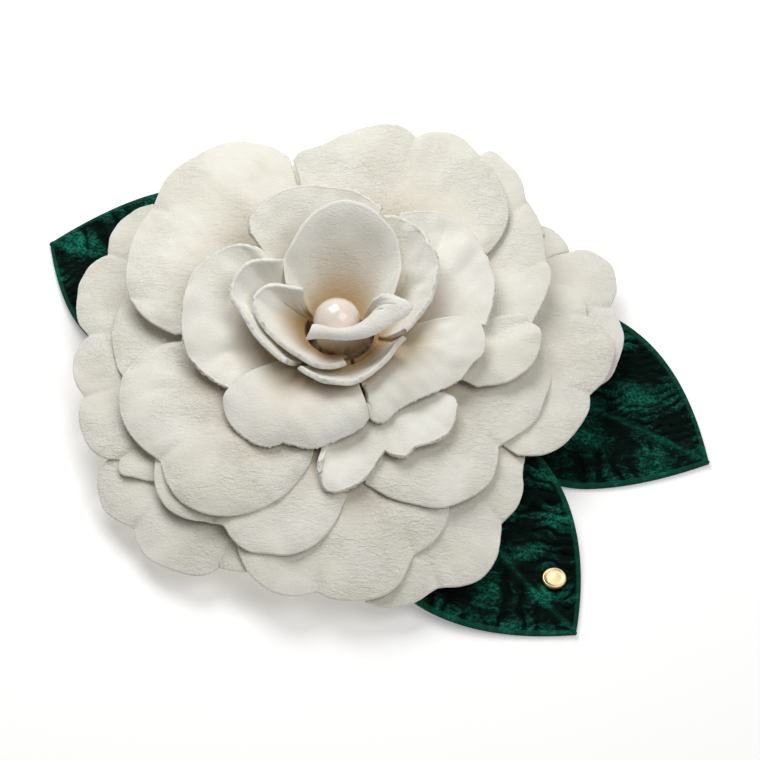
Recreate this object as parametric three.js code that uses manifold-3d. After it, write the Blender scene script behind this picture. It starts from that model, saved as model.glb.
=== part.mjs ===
// Flower hair clip: a layered leather flower with three velvet leaves and a pearl, on a felt
// disc that carries a sprung alligator clip. Millimetres, +Z up. The clip lies on its thumb tab
// and on the tips of the leaves, with the flower facing up. While it is being built the
// flower's axis is X = Y = 0; the last lines move the whole part over the middle of its box.
import * as THREE from "three";
import { mergeVertices } from "three/addons/utils/BufferGeometryUtils.js";
import Module from "manifold-3d";

const wasm = await Module();
wasm.setup();

// ---------------------------------------------------------------- driving dimensions
const LEATHER = 0.8; // petal thickness
const PETAL_COLUMNS = 16;
const PETAL_ROWS = 4;

const LEAF_THICKNESS = 0.9;
const LEAF_ROOT_Z = 11.95; // upper side of a leaf where it is glued to the disc
const LEAF_DROP = 11.05; // from there down to the tip, which touches the table
const LEAF_STEM = 3.5; // half width of the tab at the root

const GAP = 0.3; // between pieces that rest on each other
const DISC = { radius: 26, bottom: 9.3, thickness: 1.4 };
const CORE = { bottom: 11, shoulder: 16.5, waist: 19, top: 21.6 };
const CORE_RADIUS = { low: 8.4, waist: 6.2, top: 4.4 };
const PEARL = { radius: 5, centre: [-1, -0.5, 26.8], holeRadius: 1, holeTop: 27.5 };
const POST = { radius: 0.7, bottom: 19.5, top: 27 };
const STUD = { at: [44.3, -49], radius: 2.5, height: 0.8, bottom: 2.2 };

const PLATE = { tip: -34, rear: 22, bottom: 8.2, thickness: 0.8, halfWidth: 4.6 };
const PLATE_EAR = { halfLength: 2.6, drop: 2.4 }; // along X, and below the hinge
const HINGE = { x: 8, z: 5.2, pinRadius: 1, holeRadius: 1.3, headRadius: 1.8, headWidth: 0.8 };
const JAW = { tip: -34, teethEnd: -18, halfWidth: 3.4, thickness: 0.8, toothPitch: 2, toothDepth: 1.1 };
const JAW_LINE = [[26, 0], [9, 1.4], [2, 1.4], [-18, 5], [-34, 5]]; // its lower side
const JAW_EAR = { bottom: 1.8, top: 7, lowHalf: 3, topHalf: 2 };
const SPRING = { wireRadius: 0.35, coilRadius: 2.05, turns: 3, pitch: 0.9, legEnd: 15, lowLeg: 2.6 };
const STRAP = { from: -16, to: -7, thickness: 0.8, halfLength: 11 };

// ---------------------------------------------------------------- materials
function finish(color, roughness, metalness = 0) {
  return new THREE.MeshStandardMaterial({ color, roughness, metalness });
}
const MATERIALS = {
  leather: finish(0xe9e6dc, 0.75),
  velvet: finish(0x043f30, 0.9),
  pearl: finish(0xf7e8df, 0.2),
  felt: finish(0xe4dfd2, 0.95),
  steel: finish(0xb9bcc0, 0.3, 1),
  gold: finish(0xe0b878, 0.3, 1),
};

// ---------------------------------------------------------------- small helpers
const lerp = THREE.MathUtils.lerp;

function named(name, geometry, material) {
  const mesh = new THREE.Mesh(geometry, material.clone());
  mesh.name = name;
  return mesh;
}

// A closed geometry as a solid that can be joined and cut, and back again.
function solidOf(geometry) {
  const bare = geometry.clone();
  bare.deleteAttribute("normal");
  bare.deleteAttribute("uv");
  const merged = mergeVertices(bare, 1e-4);
  return new wasm.Manifold(
    new wasm.Mesh({
      numProp: 3,
      vertProperties: new Float32Array(merged.attributes.position.array),
      triVerts: new Uint32Array(merged.index.array),
    }),
  );
}

function geometryOf(solid) {
  const mesh = solid.getMesh();
  const geometry = new THREE.BufferGeometry();
  geometry.setAttribute("position", new THREE.BufferAttribute(mesh.vertProperties, 3));
  geometry.setIndex(new THREE.BufferAttribute(mesh.triVerts, 1));
  return geometry;
}

function join(...geometries) {
  return geometryOf(geometries.map(solidOf).reduce((a, b) => a.add(b)));
}

function cut(body, ...tools) {
  return geometryOf(tools.map(solidOf).reduce((a, b) => a.subtract(b), solidOf(body)));
}

function box([x0, x1], [y0, y1], [z0, z1]) {
  const geometry = new THREE.BoxGeometry(x1 - x0, y1 - y0, z1 - z0);
  return geometry.translate((x0 + x1) / 2, (y0 + y1) / 2, (z0 + z1) / 2);
}

function rodAlongY(radius, y0, y1, sides = 24) {
  const geometry = new THREE.CylinderGeometry(radius, radius, y1 - y0, sides);
  return geometry.translate(HINGE.x, (y0 + y1) / 2, HINGE.z);
}

// A turned body: [radius, z] pairs from the axis at the bottom to the axis at the top.
function turned(profile, sides = 24) {
  const points = profile.map(([r, z]) => new THREE.Vector2(r, z));
  return new THREE.LatheGeometry(points, sides).rotateX(Math.PI / 2);
}

// An outline in the X-Z plane, extruded along Y from y0 to y1.
function sideProfile(outline, y0, y1) {
  const shape = new THREE.Shape(outline.map(([x, z]) => new THREE.Vector2(x, z)));
  const geometry = new THREE.ExtrudeGeometry(shape, { depth: y1 - y0, bevelEnabled: false });
  return geometry.rotateX(Math.PI / 2).translate(0, y1, 0);
}

// A closed sheet: the grid surface(i, j), i = 0..columns and j = 0..rows, is one side and the same
// grid pushed along its normals by the thickness is the other. The normal is along x across, which
// points up where i runs anticlockwise, as in a petal, and down where it runs clockwise.
function sheet(surface, columns, rows, thickness) {
  const width = columns + 1;
  const near = [];
  for (let j = 0; j <= rows; j += 1) {
    for (let i = 0; i <= columns; i += 1) near.push(surface(i, j));
  }
  const far = near.map((point, n) => {
    const i = n % width;
    const j = Math.floor(n / width);
    const across = near[n + (i < columns ? 1 : 0)].clone().sub(near[n - (i > 0 ? 1 : 0)]);
    const along = near[n + (j < rows ? width : 0)].clone().sub(near[n - (j > 0 ? width : 0)]);
    return point.clone().addScaledVector(along.cross(across).normalize(), thickness);
  });
  const index = [];
  const quad = (a, b, c, d) => index.push(a, b, c, a, c, d);
  const low = near.length;
  for (let j = 0; j < rows; j += 1) {
    for (let i = 0; i < columns; i += 1) {
      const n = j * width + i;
      quad(n, n + width, n + width + 1, n + 1);
      quad(low + n, low + n + 1, low + n + width + 1, low + n + width);
    }
    const left = j * width;
    const right = left + columns;
    quad(left + width, left, low + left, low + left + width);
    quad(right, right + width, low + right + width, low + right);
  }
  for (let i = 0; i < columns; i += 1) {
    const rim = rows * width + i;
    quad(i, i + 1, low + i + 1, low + i);
    quad(rim + 1, rim, low + rim, low + rim + 1);
  }
  const geometry = new THREE.BufferGeometry().setFromPoints([...near, ...far]);
  geometry.setIndex(index.reverse());
  return geometry;
}

// ---------------------------------------------------------------- petals
// Every petal fans out from an arc of its ring's root radius to its rim. The rim is a list of
// lobes, anticlockwise, each a smooth curve through its points; two lobes meet in a notch.
// The petals of the outer and middle rings are cut flat and hang over the ring below, so their
// rims need only [x, y]: their height follows from the ring, whose z is its underside at the root.
const RINGS = {
  outerLow: { root: 9.5, z: 14.2, rise: 0, fall: 7 },
  outerHigh: { root: 9.5, z: 15.5, rise: 0, fall: 6.7 },
  middleLow: { root: 9, z: 16.9, rise: 0, fall: 6.2 },
  middleLowBack: { root: 9, z: 16.9, rise: 2.5, fall: 0 },
  middleHigh: { root: 8.5, z: 18.2, rise: 0, fall: 4.5 },
  middleHighRight: { root: 8.5, z: 18.2, rise: 2.5, fall: 0 },
  middleHighLeft: { root: 8.5, z: 18.2, rise: 4, fall: 2 },
  middleHighBack: { root: 8.5, z: 18.2, rise: 6.5, fall: 2 },
};
const FRONT_DROOP = 2; // the rings fall this much more at the front and less at the back

function ringHeight(ring, x, y) {
  const radius = Math.hypot(x, y);
  const reach = (radius - 9.5) / 50;
  const fall = ring.fall - (FRONT_DROOP * y) / radius;
  return ring.z + ring.rise * reach - fall * reach * reach;
}

const PETALS = [
  {
    name: "outer_petal_front_left",
    ring: "outerLow",
    lobes: [
      [[-43.5, -15], [-50, -24], [-51.5, -27.5], [-51, -31], [-50, -34], [-47.5, -36.5], [-43.5, -39]],
      [[-43.5, -39], [-42.5, -42.5], [-40, -46], [-34.5, -49], [-29.5, -50.5], [-27, -50], [-25.5, -49]],
      [[-25.5, -49], [-22.5, -50], [-19.5, -50.5], [-9.5, -49]],
    ],
  },
  {
    name: "outer_petal_front_right",
    ring: "outerLow",
    lobes: [
      [[5, -57], [9.5, -58], [14.5, -57], [20, -53.5]],
      [[20, -53.5], [24.5, -53], [29, -51], [32, -47], [33, -43], [33.5, -39]],
      [[33.5, -39], [36.5, -35.5], [38, -31.5], [38, -27], [40, -18]],
    ],
  },
  {
    name: "outer_petal_right_back",
    ring: "outerLow",
    lobes: [
      [[45.5, -8], [56.5, -3], [59.5, 3], [61, 9], [60.5, 13], [58.5, 17.5]],
      [[58.5, 17.5], [60, 23], [59.5, 28], [57.5, 31.5], [54.5, 33], [50, 32]],
      [[50, 32], [48.5, 35.5], [45.5, 38], [41.5, 39], [35.5, 38]],
    ],
  },
  {
    name: "outer_petal_back_left",
    ring: "outerLow",
    lobes: [
      [[11, 44.5], [3.5, 52], [-9, 52], [-19, 47.5]],
      [[-19, 47.5], [-28, 45], [-33.5, 37], [-29.5, 27]],
    ],
  },
  {
    name: "outer_petal_left",
    ring: "outerHigh",
    lobes: [
      [[-42.5, 44], [-46.5, 42.5], [-50, 39], [-51.5, 35], [-52, 30]],
      [[-52, 30], [-55, 28], [-57.5, 23], [-58, 17], [-57.5, 12], [-55, 8]],
      [[-55, 8], [-57, 5], [-58, 0.5], [-57, -4.5], [-55, -8]],
      [[-55, -8], [-56, -12], [-55, -17], [-53, -21], [-50, -23.5], [-47, -24]],
      [[-47, -24], [-46.5, -27.5], [-43, -29], [-39.5, -30], [-37, -30]],
    ],
  },
  {
    name: "outer_petal_front",
    ring: "outerHigh",
    lobes: [
      [[-22.5, -40], [-21, -47.5], [-18.5, -52], [-14, -55.5], [-9, -56.5], [-5, -55.5]],
      [[-5, -55.5], [-2, -57], [3, -57.5], [8.5, -56.5], [12, -54], [15, -48]],
      [[15, -48], [19.5, -44.5], [22, -40], [22.5, -35.5]],
    ],
  },
  {
    name: "outer_petal_right",
    ring: "outerHigh",
    lobes: [
      [[37, -24.5], [41.5, -24], [46.5, -21], [50, -16.5], [52.5, -11.5], [53, -7.5]],
      [[53, -7.5], [56, -4], [58, 1], [58.5, 5.5], [57, 9.5], [53, 13]],
      [[53, 13], [52.5, 16.5], [50, 20], [39.5, 21]],
    ],
  },
  {
    name: "outer_petal_back_right",
    ring: "outerHigh",
    lobes: [
      [[44.5, 35], [42.5, 41], [40, 45.5], [37, 48]],
      [[37, 48], [25.5, 47.5], [13, 52.5], [3.5, 50]],
    ],
  },
  {
    name: "middle_petal_left",
    ring: "middleLow",
    lobes: [
      [[-36.5, 21], [-47, 16], [-48.5, 12], [-49.5, 6], [-49, 1], [-47.5, -4], [-41.5, -10.5]],
    ],
  },
  {
    name: "middle_petal_front_left",
    ring: "middleLow",
    lobes: [
      [[-38.5, -21.5], [-39, -31.5], [-36.5, -37], [-32, -40], [-27, -41]],
      [
        [-27, -41], [-24.5, -42], [-22.5, -45], [-19.5, -47.5], [-15, -48.5], [-10.5, -49], [-5.5, -47],
        [-1.5, -42.5], [1, -36.5],
      ],
    ],
  },
  {
    name: "middle_petal_front_right",
    ring: "middleLow",
    lobes: [
      [
        [5, -33.5], [10, -36.5], [15.5, -38], [20.5, -38.5], [26.5, -36], [31, -32], [32.5, -28],
        [33, -23.5],
      ],
      [[33, -23.5], [36.5, -21], [41, -16.5], [43, -11], [44.5, -6], [43.5, 0]],
    ],
  },
  {
    name: "middle_petal_right_back",
    ring: "middleLowBack",
    lobes: [
      [[40, 4], [42.5, 9.5], [44.5, 14.5], [45, 18], [44, 21]],
      [[44, 21], [43.5, 27], [42.5, 32.5], [40, 36.5]],
      [[40, 36.5], [39, 42.5], [36, 47], [32.5, 50], [22.5, 42.5]],
    ],
  },
  {
    name: "middle_petal_back",
    ring: "middleLow",
    lobes: [
      [[7.5, 43.5], [-1, 50.5], [-9.5, 52.5], [-14, 50]],
      [[-14, 50], [-22, 44], [-29, 34.5]],
    ],
  },
  {
    name: "big_petal_front_left",
    ring: "middleHigh",
    lobes: [
      [
        [-34, 1], [-40.5, 0.5], [-45, -3.5], [-47, -8.5], [-47, -14.5], [-45, -20], [-41.5, -24.5],
        [-38, -27.5],
      ],
      [
        [-38, -27.5], [-36.5, -32.5], [-33.5, -37], [-29, -40], [-24.5, -41], [-19, -40.5],
        [-12.5, -37.5], [-8.5, -33], [-6.5, -29.5],
      ],
    ],
  },
  {
    name: "big_petal_back_left",
    ring: "middleHighLeft",
    lobes: [
      [[-12, 48.5], [-16.5, 51.5], [-23.5, 52.5], [-29.5, 50.5], [-35, 46.5], [-39, 42], [-41.5, 35]],
      [[-41.5, 35], [-45, 28], [-46.5, 20], [-46.5, 15], [-45.5, 11]],
      [[-45.5, 11], [-42.5, 6], [-38, 3], [-35.5, 1.5]],
    ],
  },
  {
    name: "big_petal_back_right",
    ring: "middleHighBack",
    lobes: [
      [
        [29.5, 20.5], [33, 24], [35, 27.5], [36, 33], [34.5, 39], [32, 44.5], [29, 48], [27, 50.5],
        [23.5, 53], [19.5, 53.5], [16, 52.5],
      ],
      [[16, 52.5], [12.5, 55], [9, 55.5], [4, 54.5], [-0.5, 52.5], [-5, 50], [-9.5, 48.5], [-11, 46.5]],
    ],
  },
  {
    name: "big_petal_right",
    ring: "middleHighRight",
    lobes: [
      [[28.5, -11.5], [35.5, -10], [40, -6.5], [42, -1.5], [42, 3], [39, 6.5]],
    ],
  },
  {
    name: "inner_petal_left",
    root: [7.5, 19.4],
    bow: 0,
    lobes: [
      [
        [-17, 15.5, 29], [-19, 16.5, 30.5], [-22.5, 17.5, 30], [-26, 16.5, 29], [-30, 13.5, 28.5],
        [-32.5, 10, 27.5], [-33.5, 6, 26.5], [-34, 1.5, 25], [-33.5, -3, 23.5], [-32, -6.5, 21.5],
        [-29.5, -9.5, 21], [-26.5, -12, 20.5], [-24, -13, 20], [-20.5, -13, 19.5],
      ],
    ],
  },
  {
    name: "inner_petal_back",
    root: [7.5, 19.4],
    bow: -1,
    lobes: [
      [
        [8.5, 26.5, 31], [6, 28.5, 31.5], [2.5, 30.5, 32], [-2.5, 31.5, 32], [-7, 32, 32],
        [-11.5, 31, 32], [-15.5, 29, 31.5], [-18, 26.5, 31], [-20, 23.5, 30.5], [-20, 20.5, 29.5],
      ],
    ],
  },
  {
    name: "inner_petal_right_back",
    root: [7.5, 19.4],
    bow: -0.5,
    lobes: [
      [
        [30.5, 2, 22], [32, 6.5, 23], [32.5, 12, 24], [31, 17.5, 25], [28.5, 22, 26], [25, 26.5, 27],
        [21, 28, 27.5], [16.5, 28, 28], [12.5, 27, 28.5],
      ],
    ],
  },
  {
    name: "inner_petal_front_right",
    root: [7.5, 19.4],
    lobes: [
      [
        [-4, -30.5, 18.5], [-4.5, -33.5, 17.5], [-3.5, -36, 16.5], [-1, -36.5, 16], [2, -35.5, 16],
        [5, -33.5, 16.5], [9, -27.5, 18],
      ],
      [
        [9, -27.5, 18], [11.5, -29, 18], [13.5, -29, 18], [15.5, -27, 18.5], [20.5, -25, 18.5],
        [22.5, -23, 18.5], [24, -19, 19], [24, -16, 19.5], [22, -14.5, 20],
      ],
    ],
  },
  {
    name: "inner_petal_front_left",
    root: [7, 20.9],
    crest: 2.5,
    lobes: [
      [
        [-23.5, -13.5, 20], [-24.5, -16, 19.5], [-24, -19.5, 19], [-20.5, -24, 18.5],
        [-16.5, -26.5, 18.5], [-14, -26.5, 18.5], [-12, -26, 19],
      ],
      [
        [-12, -26, 19], [-8.5, -27, 19], [-6, -27.5, 19], [-2.5, -26.5, 19.5], [1, -25, 20],
        [4, -23, 20.5], [5.5, -21, 21],
      ],
    ],
  },
  {
    name: "inner_petal_right",
    root: [7, 20.9],
    crest: 1.6,
    lobes: [
      [
        [6, -18, 21.5], [7, -21.5, 20.5], [8.5, -22, 20.5], [12, -19, 21], [16.5, -16.5, 21.5],
        [20.5, -14.5, 21.5], [25, -12, 22], [27.5, -8.5, 23],
      ],
      [[27.5, -8.5, 23], [29.5, -6.5, 23], [30, -3, 23.5], [29, 0.5, 24], [27, 2, 24.5]],
    ],
  },
  {
    name: "inner_petal_back_right",
    root: [7.8, 22.1],
    bow: -1.5,
    lobes: [
      [
        [13.5, -3, 27], [16.5, 0.5, 28], [18.5, 3.5, 29], [20, 7, 30], [20.5, 11, 30.5], [20, 14, 31.5],
        [18.5, 17.5, 32], [16.5, 20, 32.5], [14, 21.5, 33], [11, 22.5, 33.5], [9, 22.5, 33.5],
      ],
    ],
  },
  {
    name: "heart_petal_left",
    centre: PEARL.centre,
    root: [9.3, 22.3],
    bow: -1.5,
    lobes: [
      [
        [-13, 15.5, 29.5], [-14, 11.5, 33], [-20, 11, 32.5], [-22, 9, 32], [-23.5, 6.5, 31],
        [-23.5, 3, 30.5], [-21.5, -0.5, 30], [-19.5, -4, 29.5], [-17, -7.5, 29], [-14, -10.5, 28.5],
        [-11.5, -12, 28],
      ],
    ],
  },
  {
    name: "heart_petal_front",
    centre: PEARL.centre,
    root: [9.3, 22.3],
    bow: -1,
    lobes: [
      [
        [-9, -12.5, 26.5], [-6.5, -14.5, 26.5], [-4, -16, 26.5], [-0.5, -16.5, 26.5], [2.5, -16.5, 26.5],
        [5.5, -15, 27], [8, -13, 27], [10, -11, 27.5], [12, -8, 28], [13.5, -6, 28.5],
      ],
    ],
  },
  {
    name: "heart_petal_back",
    centre: PEARL.centre,
    root: [5.9, 22.4],
    bow: -2,
    lobes: [
      [
        [10.5, 5, 28], [12, 9.5, 30.5], [12, 13, 32], [11, 17, 34.5], [8.5, 19.5, 36.5], [6, 21, 38],
        [2.5, 22, 39], [-1, 22, 39], [-4.5, 21, 38], [-7.5, 19, 36.5], [-10, 15.5, 34.5], [-12, 12.5, 32],
        [-12, 10.5, 31], [-11.5, 7.5, 29.5],
      ],
    ],
  },
  {
    name: "heart_petal_inner_left",
    centre: PEARL.centre,
    root: [7.2, 23],
    bow: -0.5,
    lobes: [
      [
        [-8, 4.5, 32], [-10, 5, 32], [-13.5, 6, 31.5], [-16, 6, 31], [-18, 4.5, 30.5], [-19, 3, 30],
        [-18.5, 0, 29.5], [-16.5, -3.5, 29], [-14.5, -6, 28.5], [-11.5, -9, 28], [-8.5, -11, 27.5],
        [-5, -12.5, 27], [-2, -12.5, 26.5], [1, -11.5, 26.5],
      ],
    ],
  },
  {
    name: "heart_petal_lip",
    centre: PEARL.centre,
    root: [5.6, 22.4],
    crest: 1.6,
    lobes: [
      [
        [-7.5, -8, 31], [-4.5, -7.5, 31], [-1, -8, 31], [2.5, -8, 31], [6, -7.5, 31.5], [8.5, -6.5, 32],
        [11, -5, 32.5], [13.5, -3.5, 33], [14.5, -2, 33.5], [12, -0.5, 34], [9.5, 0, 34.5],
      ],
    ],
  },
];

function petalMesh({ name, ring, root, bow = 0, crest = 0, centre = [0, 0], lobes }) {
  const curves = lobes.map(
    (lobe) => new THREE.CatmullRomCurve3(lobe.map(([x, y, z = 0]) => new THREE.Vector3(x, y, z))),
  );
  const lengths = curves.map((curve) => curve.getLength());
  const total = lengths.reduce((a, b) => a + b);
  const rim = [curves[0].getPoint(0)];
  curves.forEach((curve, n) => {
    const steps = Math.max(3, Math.round((PETAL_COLUMNS * lengths[n]) / total));
    rim.push(...curve.getSpacedPoints(steps).slice(1));
  });
  const columns = rim.length - 1;
  const angleOf = (point) => Math.atan2(point.y - centre[1], point.x - centre[0]);
  const start = angleOf(rim[0]);
  const turn = Math.PI * 2;
  const fromStart = (point) => (((angleOf(point) - start) % turn) + turn) % turn;
  const sweep = fromStart(rim[columns]);
  const shares = rim.map((point) => Math.min(fromStart(point), sweep) / sweep);
  const [rootRadius, rootZ] = ring ? [RINGS[ring].root, RINGS[ring].z] : root;
  const surface = (i, j) => {
    const v = j / PETAL_ROWS;
    const angle = start + sweep * lerp(i / columns, shares[i], 0.7);
    const x = lerp(centre[0] + rootRadius * Math.cos(angle), rim[i].x, v);
    const y = lerp(centre[1] + rootRadius * Math.sin(angle), rim[i].y, v);
    if (ring) return new THREE.Vector3(x, y, ringHeight(RINGS[ring], x, y));
    const lift = (4 * bow + 6.75 * crest * v) * v * (1 - v);
    return new THREE.Vector3(x, y, lerp(rootZ, rim[i].z, v) + lift);
  };
  return named(name, sheet(surface, columns, PETAL_ROWS, LEATHER), MATERIALS.leather);
}

// ---------------------------------------------------------------- leaves
// A leaf is given by its tip, the compass direction it points in, its length and half width.
// It lies on the disc and droops to the table, reaching it at flatFrom mm from the axis.
const LEAVES = [
  { name: "leaf_left", tip: [-66, 40], toward: 160, length: 60, halfWidth: 26, flatFrom: 74 },
  { name: "leaf_right", tip: [78.4, -19], toward: -30, length: 74, halfWidth: 24, flatFrom: 58 },
  { name: "leaf_front", tip: [48.5, -61.3], toward: -48, length: 68, halfWidth: 22, flatFrom: 74 },
];
const LEAF_FLAT_TO = 24; // flat on the disc as far as this

function leafMesh({ name, tip, toward, length, halfWidth, flatFrom }) {
  const cos = Math.cos(THREE.MathUtils.degToRad(toward));
  const sin = Math.sin(THREE.MathUtils.degToRad(toward));
  const rows = 12;
  const columns = 8;
  const surface = (i, j) => {
    const t = 1 - (1 - j / rows) ** 1.3;
    const outer = 1 - (2 * t - 1) ** 2;
    const inner = THREE.MathUtils.smoothstep(t, 0, 0.5);
    const half = Math.max(halfWidth * (t < 0.5 ? inner : outer), t < 0.5 ? LEAF_STEM : 0.3);
    const across = half * ((2 * i) / columns - 1);
    const along = (t - 1) * length;
    const x = tip[0] + along * cos + across * sin;
    const y = tip[1] + along * sin - across * cos;
    const drop = THREE.MathUtils.smoothstep(Math.hypot(x, y), LEAF_FLAT_TO, flatFrom);
    return new THREE.Vector3(x, y, LEAF_ROOT_Z - LEAF_DROP * drop);
  };
  const geometry = sheet(surface, columns, rows, LEAF_THICKNESS);
  return named(name, geometry, MATERIALS.velvet);
}

// ---------------------------------------------------------------- centre and backing
function rod(radius, z0, z1, sides) {
  return turned([[0, z0], [radius, z0], [radius, z1], [0, z1]], sides);
}

// A rod on the pearl's axis: the post, and the holes that it goes into.
function rodUnderPearl(radius, z0, z1) {
  return rod(radius, z0, z1, 12).translate(PEARL.centre[0], PEARL.centre[1], 0);
}

// The felt plug that the petals are glued round, with a hole for the pearl's post.
function petalCore() {
  const outside = [
    [0, CORE.bottom],
    [CORE_RADIUS.low, CORE.bottom],
    [CORE_RADIUS.low, CORE.shoulder],
    [CORE_RADIUS.waist, CORE.waist],
    [CORE_RADIUS.top, CORE.top],
    [0, CORE.top],
  ];
  return cut(turned(outside), rodUnderPearl(POST.radius + GAP, POST.bottom - GAP, CORE.top + 1));
}

function pearl() {
  const { radius, centre, holeRadius, holeTop } = PEARL;
  const ball = new THREE.SphereGeometry(radius, 24, 14).translate(...centre);
  return cut(ball, rodUnderPearl(holeRadius, centre[2] - radius - 1, holeTop));
}

// ---------------------------------------------------------------- clip
const PLATE_TOP = PLATE.bottom + PLATE.thickness;
const EAR_INSIDE = PLATE.halfWidth - PLATE.thickness;

// The top plate: a flat strip with two ears folded down to carry the pin.
function clipPlate() {
  const { tip, rear, bottom, halfWidth } = PLATE;
  const strip = box([tip, rear], [-halfWidth, halfWidth], [bottom, PLATE_TOP]);
  const earLength = [HINGE.x - PLATE_EAR.halfLength, HINGE.x + PLATE_EAR.halfLength];
  const ear = (y0, y1) => box(earLength, [y0, y1], [HINGE.z - PLATE_EAR.drop, PLATE_TOP]);
  const ears = [ear(EAR_INSIDE, halfWidth), ear(-halfWidth, -EAR_INSIDE)];
  return cut(join(strip, ...ears), rodAlongY(HINGE.holeRadius, -halfWidth - 1, halfWidth + 1));
}

// The jaw: a bent strip, with a thumb tab at the back and a toothed flange along each side of the
// tip, which close up to the plate, and two ears on the pin.
const TOOTH_TOP = PLATE.bottom - GAP;

function clipJaw() {
  const { tip, teethEnd, halfWidth, thickness, toothPitch, toothDepth } = JAW;
  const upperSide = JAW_LINE.map(([x, z]) => [x, z + thickness]).reverse();
  const strip = sideProfile([...JAW_LINE, ...upperSide], -halfWidth, halfWidth);
  const foot = JAW_LINE.at(-1)[1] + 0.2; // inside the strip, so that the flange joins it
  const teeth = [[tip, foot]];
  for (let x = tip; x < teethEnd; x += toothPitch) {
    teeth.push([x, TOOTH_TOP], [x + toothPitch / 2, TOOTH_TOP - toothDepth]);
  }
  teeth.push([teethEnd, TOOTH_TOP - toothDepth], [teethEnd, foot]);
  const { bottom, top, lowHalf, topHalf } = JAW_EAR;
  const ear = [
    [HINGE.x - lowHalf, bottom],
    [HINGE.x + lowHalf, bottom],
    [HINGE.x + topHalf, top],
    [HINGE.x - topHalf, top],
  ];
  const sides = [[halfWidth - thickness, halfWidth], [-halfWidth, thickness - halfWidth]];
  const flanges = sides.flatMap(([y0, y1]) => [
    sideProfile(teeth, y0, y1),
    sideProfile(ear, y0, y1),
  ]);
  return cut(join(strip, ...flanges), rodAlongY(HINGE.holeRadius, -halfWidth - 1, halfWidth + 1));
}

function hingePin() {
  const end = PLATE.halfWidth + GAP;
  const inHead = HINGE.headWidth / 2;
  const shank = rodAlongY(HINGE.pinRadius, -end - inHead, end + inHead);
  const head = (y) => rodAlongY(HINGE.headRadius, y, y + HINGE.headWidth);
  return join(shank, head(end), head(-end - HINGE.headWidth));
}

// A torsion spring round the pin: one leg under the plate, the other on the thumb tab.
function torsionSpring() {
  const { wireRadius, coilRadius, turns, pitch, legEnd, lowLeg } = SPRING;
  const upperLeg = PLATE.bottom - GAP - wireRadius;
  const half = (turns * pitch) / 2;
  const bend = new THREE.Vector3(HINGE.x + coilRadius + 0.35, -half, HINGE.z + coilRadius + 0.25);
  const points = [new THREE.Vector3(legEnd, -half, upperLeg), bend];
  const steps = 16 * turns;
  for (let k = 0; k <= steps; k += 1) {
    const share = k / steps;
    const angle = Math.PI / 2 + share * turns * Math.PI * 2;
    const x = HINGE.x + coilRadius * Math.cos(angle);
    const z = HINGE.z + coilRadius * Math.sin(angle);
    points.push(new THREE.Vector3(x, lerp(-half, half, share), z));
  }
  points.push(new THREE.Vector3(legEnd, half, lowLeg));
  const extrudePath = new THREE.CatmullRomCurve3(points, false, "centripetal");
  const section = new THREE.Shape().absarc(0, 0, wireRadius, 0, Math.PI * 2);
  const settings = { steps: 110, curveSegments: 4, bevelEnabled: false, extrudePath };
  return new THREE.ExtrudeGeometry(section, settings);
}

// The strap glued to the disc on both sides of the plate, which it holds from below.
function clipStrap() {
  const { from, to, thickness, halfLength } = STRAP;
  const low = PLATE.bottom - GAP;
  const high = DISC.bottom - GAP;
  const bend = PLATE.halfWidth + 0.4;
  const outline = [
    [-halfLength, high], [-halfLength, high - thickness], [-bend - 1, high - thickness],
    [-bend, low - thickness], [bend, low - thickness], [bend + 1, high - thickness],
    [halfLength, high - thickness], [halfLength, high], [bend + 0.4, high],
    [bend - 0.2, low], [-bend + 0.2, low], [-bend - 0.4, high],
  ];
  const shape = new THREE.Shape(outline.map(([y, z]) => new THREE.Vector2(y, z)));
  const geometry = new THREE.ExtrudeGeometry(shape, { depth: to - from, bevelEnabled: false });
  return geometry.rotateX(Math.PI / 2).rotateZ(Math.PI / 2).translate(from, 0, 0);
}

// ---------------------------------------------------------------- assembly
const flowerClip = new THREE.Group();
PETALS.forEach((petal) => flowerClip.add(petalMesh(petal)));
LEAVES.forEach((leaf) => flowerClip.add(leafMesh(leaf)));

const stud = rod(STUD.radius, STUD.bottom, STUD.bottom + STUD.height).translate(...STUD.at, 0);
const post = rodUnderPearl(POST.radius, POST.bottom, POST.top);
const disc = rod(DISC.radius, DISC.bottom, DISC.bottom + DISC.thickness, 40);
flowerClip.add(
  named("leaf_stud", stud, MATERIALS.gold),
  named("pearl", pearl(), MATERIALS.pearl),
  named("pearl_post", post, MATERIALS.steel),
  named("petal_core", petalCore(), MATERIALS.felt),
  named("backing_disc", disc, MATERIALS.felt),
  named("clip_strap", clipStrap(), MATERIALS.leather),
  named("clip_plate", clipPlate(), MATERIALS.steel),
  named("clip_jaw", clipJaw(), MATERIALS.steel),
  named("hinge_pin", hingePin(), MATERIALS.steel),
  named("torsion_spring", torsionSpring(), MATERIALS.steel),
);

const middle = new THREE.Box3().setFromObject(flowerClip, true).getCenter(new THREE.Vector3());
flowerClip.position.set(-middle.x, -middle.y, 0);

export default flowerClip;
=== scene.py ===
# Flower hair clip, the looks: leather petals, crushed velvet leaves, a pearl, a gold stud, and the
# felt disc, strap and sprung clip behind them. Sizes are millimetres from the flower's axis, as in
# the CAD model, and MM turns them into the frame's metres.
import math
from collections import namedtuple

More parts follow.
